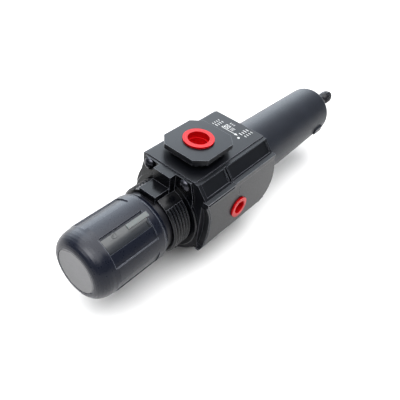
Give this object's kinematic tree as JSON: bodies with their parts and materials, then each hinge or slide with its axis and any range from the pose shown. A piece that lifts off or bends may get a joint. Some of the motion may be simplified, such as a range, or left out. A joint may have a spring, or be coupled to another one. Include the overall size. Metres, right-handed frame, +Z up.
{
  "type": "air filter regulator",
  "caption": "Piggyback compressed-air filter regulator: ribbed knob, threaded bonnet, cast body with octagonal clamp flange and red port plugs, long bowl with a twist drain.",
  "frame": {"origin": "centre of the outlet port's mouth, on the face of the lower port boss, which the unit lies on", "axes": "+X along the main axis from the knob to the drain, +Z up from the outlet port to the inlet port, -Y out of the front gauge port"},
  "size_m": [0.276, 0.0588, 0.0812],
  "materials": {
    "body_paint": "satin black powder coat on die-cast aluminium",
    "bonnet_paint": "satin black powder coat on die-cast aluminium",
    "knob_plastic": "satin charcoal moulded nylon",
    "cap_plastic": "satin grey moulded disc",
    "strip_plastic": "pale translucent insert",
    "window_plastic": "smoky grey moulded window",
    "bowl_paint": "matte black painted aluminium",
    "black_plastic": "black moulded nylon",
    "red_plastic": "red polyethylene",
    "dark_steel": "black oxide steel",
    "zinc_steel": "zinc plated steel",
    "brass": "machined brass",
    "seal_rubber": "nitrile rubber",
    "louver_plastic": "natural acetal",
    "filter_media": "sintered porous polypropylene"
  },
  "bodies": {
    "housing": {"body": "body_paint", "bonnet": "bonnet_paint", "bonnet_screws": "dark_steel", "lock_ring": "black_plastic", "thrust_washer": "louver_plastic", "diaphragm": "seal_rubber", "valve_seat": "brass", "valve_spring": "zinc_steel", "valve_guide": "black_plastic", "guide_seal": "seal_rubber", "filter_rod": "zinc_steel", "swirl_louver": "louver_plastic", "filter_element": "filter_media", "baffle": "black_plastic", "baffle_nut": "zinc_steel"},
    "screw": {"adjusting_screw": "zinc_steel", "screw_clip": "dark_steel"},
    "knob": {"knob": "knob_plastic", "knob_cap": "cap_plastic", "knob_window": "window_plastic", "knob_strip": "strip_plastic"},
    "button": {"spring_button": "brass", "regulating_spring": "zinc_steel"},
    "diaphragm_plates": {"spring_plate": "zinc_steel", "relief_seat": "brass"},
    "poppet": {"valve_poppet": "brass"},
    "bowl": {"bowl": "bowl_paint", "bowl_seal": "seal_rubber"},
    "drain": {"drain_valve": "black_plastic", "drain_seal": "seal_rubber"},
    "inlet_plug": {"inlet_plug": "red_plastic"},
    "gauge_plug": {"gauge_plug": "red_plastic"}
  },
  "joints": [
    {"name": "knob_turn", "type": "hinge", "parent": "housing", "child": "screw", "pos_m": [-0.07, 0, 0.04], "axis": [1, 0, 0], "range_deg": [0, 1080]},
    {"name": "knob_push", "type": "slide", "parent": "screw", "child": "knob", "axis": [1, 0, 0], "range_m": [0, 0.002]},
    {"name": "button_travel", "type": "slide", "parent": "housing", "child": "button", "axis": [1, 0, 0], "range_m": [0, 0.0076], "deforming": ["regulating_spring"]},
    {"name": "diaphragm_travel", "type": "slide", "parent": "housing", "child": "diaphragm_plates", "axis": [1, 0, 0], "range_m": [0, 0.0015], "stiffness_N_per_m": 300, "deforming": ["diaphragm"]},
    {"name": "valve_lift", "type": "slide", "parent": "housing", "child": "poppet", "axis": [1, 0, 0], "range_m": [0, 0.0016], "deforming": ["valve_spring"]},
    {"name": "bowl_turn", "type": "hinge", "parent": "housing", "child": "bowl", "pos_m": [0.035, 0, 0.04], "axis": [1, 0, 0], "range_deg": [0, 45]},
    {"name": "drain_turn", "type": "hinge", "parent": "bowl", "child": "drain", "pos_m": [0.16, 0, 0.04], "axis": [1, 0, 0], "range_deg": [0, 90]},
    {"name": "inlet_plug_pull", "type": "slide", "parent": "housing", "child": "inlet_plug", "axis": [0, 0, 1], "range_m": [0, 0.018]},
    {"name": "gauge_plug_pull", "type": "slide", "parent": "housing", "child": "gauge_plug", "axis": [0, -1, 0], "range_m": [0, 0.015]}
  ],
  "couplings": [
    {"joint": "button_travel", "follows": "knob_turn", "m_per_rad": 0.00039789},
    {"joint": "valve_lift", "follows": "diaphragm_travel", "ratio": 1}
  ]
}
